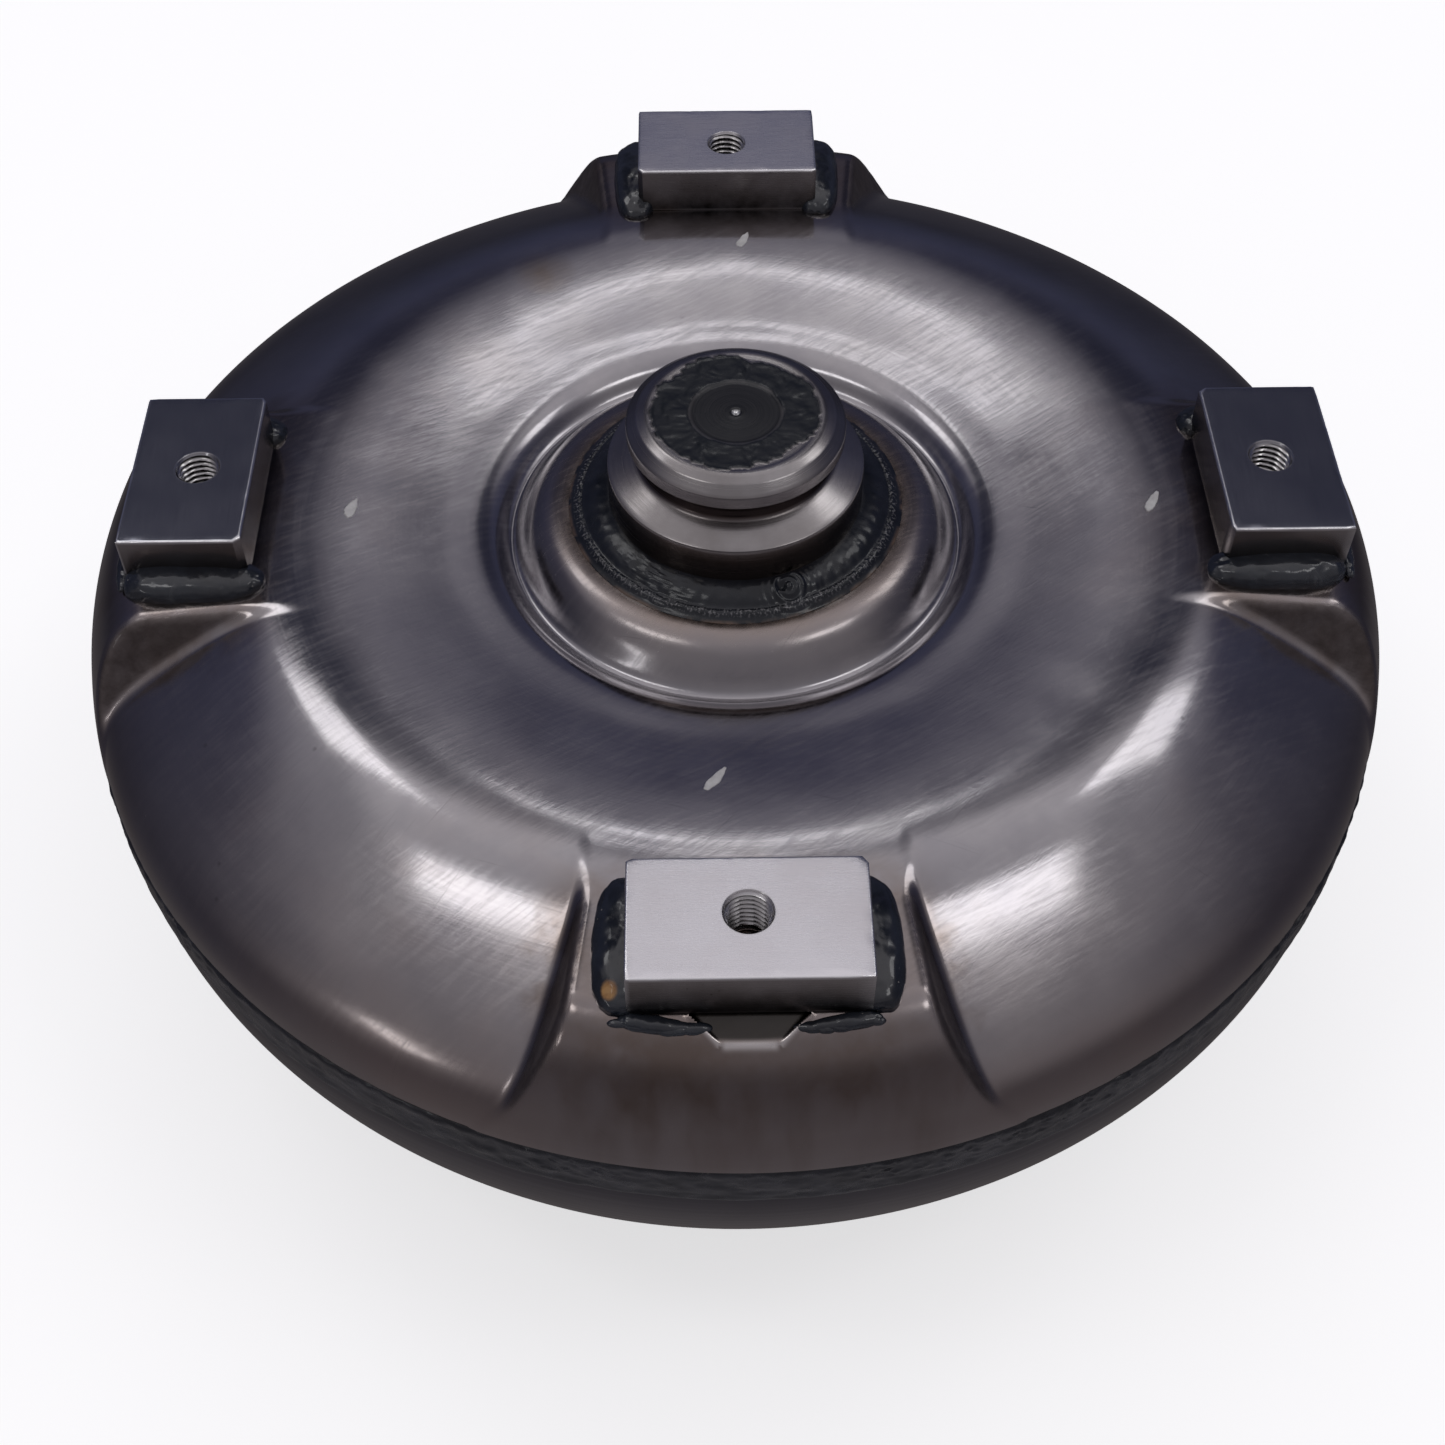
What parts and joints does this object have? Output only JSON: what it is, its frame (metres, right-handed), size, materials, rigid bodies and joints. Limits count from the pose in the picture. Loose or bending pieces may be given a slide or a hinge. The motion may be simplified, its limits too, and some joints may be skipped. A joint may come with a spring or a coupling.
{
  "type": "torque converter",
  "caption": "Lock-up torque converter: welded cover and impeller shell with flexplate lugs, turbine, stator on a one-way clutch, damper clutch, pilot hub and pump drive hub.",
  "frame": {"origin": "centre of the flexplate bolt circle, in the plane of the lug faces", "axes": "+Z along the shaft towards the engine (out of the pilot hub), +X through one lug, +Y through the next lug round; the pump hub points to -Z"},
  "size_m": [0.3152, 0.3152, 0.1676],
  "materials": {
    "cover_steel": "pressed sheet, brushed, oily varnish",
    "turned_steel": "turned",
    "weld_paint": "glossy black paint over weld",
    "ground_steel": "ground bright",
    "sheet_steel": "pressed sheet, bare",
    "bearing_steel": "hardened and ground",
    "phenolic": "moulded thrust material",
    "seal_plastic": "seal ring",
    "lining": "paper friction lining",
    "spring_steel": "oil tempered wire",
    "cast_aluminium": "die cast"
  },
  "bodies": {
    "housing": {"front_cover": "cover_steel", "pilot_hub": "turned_steel", "pilot_hub_weld": "weld_paint", "lug_front": "ground_steel", "lug_right": "ground_steel", "lug_back": "ground_steel", "lug_left": "ground_steel", "lug_welds": "weld_paint", "girth_weld": "weld_paint", "impeller_shell": "cover_steel", "impeller_blades": "sheet_steel", "impeller_core_ring": "sheet_steel", "impeller_hub": "turned_steel", "impeller_hub_flange": "turned_steel", "impeller_hub_weld": "weld_paint", "rear_race_hub": "bearing_steel"},
    "turbine": {"turbine_shell": "sheet_steel", "turbine_blades": "sheet_steel", "turbine_core_ring": "sheet_steel", "turbine_hub": "turned_steel", "turbine_rivets": "bearing_steel", "front_thrust_washer": "phenolic", "mid_race_turbine": "bearing_steel", "piston_seal_ring": "seal_plastic"},
    "damper_output": {"damper_hub": "turned_steel", "damper_driven_plate": "sheet_steel", "damper_hub_rivets": "bearing_steel"},
    "lockup": {"lockup_piston": "sheet_steel", "friction_lining": "lining", "damper_front_plate": "sheet_steel", "damper_rear_plate": "sheet_steel", "damper_springs": "spring_steel", "damper_spacer_rivets": "bearing_steel", "piston_rivets": "bearing_steel"},
    "stator": {"stator_wheel": "cast_aluminium", "owc_outer_race": "bearing_steel", "owc_rollers": "bearing_steel", "owc_springs": "spring_steel", "stator_front_cap": "phenolic", "stator_rear_cap": "phenolic", "stator_snap_ring": "spring_steel", "rear_race_stator": "bearing_steel"},
    "clutch_race": {"owc_inner_race": "bearing_steel", "mid_race_stator": "bearing_steel"},
    "rear_needles": {"rear_bearing_cage": "sheet_steel", "rear_bearing_needles": "bearing_steel"},
    "mid_needles": {"mid_bearing_cage": "sheet_steel", "mid_bearing_needles": "bearing_steel"}
  },
  "joints": [
    {"name": "turbine_spin", "type": "hinge", "parent": "housing", "child": "turbine", "pos_m": [0, 0, 0], "axis": [0, 0, 1], "continuous": true},
    {"name": "lockup_slide", "type": "slide", "parent": "turbine", "child": "damper_output", "axis": [0, 0, 1], "range_m": [0, 0.001]},
    {"name": "damper_twist", "type": "hinge", "parent": "damper_output", "child": "lockup", "pos_m": [0, 0, 0], "axis": [0, 0, 1], "range_deg": [-8, 8], "stiffness_Nm_per_rad": 40, "deforming": ["damper_springs"]},
    {"name": "stator_spin", "type": "hinge", "parent": "housing", "child": "stator", "pos_m": [0, 0, 0], "axis": [0, 0, 1], "continuous": true},
    {"name": "one_way_clutch", "type": "hinge", "parent": "stator", "child": "clutch_race", "pos_m": [0, 0, 0], "axis": [0, 0, 1], "range_deg": [0, 360]},
    {"name": "rear_bearing_spin", "type": "hinge", "parent": "housing", "child": "rear_needles", "pos_m": [0, 0, 0], "axis": [0, 0, 1], "continuous": true},
    {"name": "mid_bearing_spin", "type": "hinge", "parent": "housing", "child": "mid_needles", "pos_m": [0, 0, 0], "axis": [0, 0, 1], "continuous": true}
  ],
  "couplings": [
    {"joint": "rear_bearing_spin", "follows": "stator_spin", "ratio": 0.5},
    {"joint": "mid_bearing_spin", "follows": "turbine_spin", "ratio": 0.5}
  ]
}
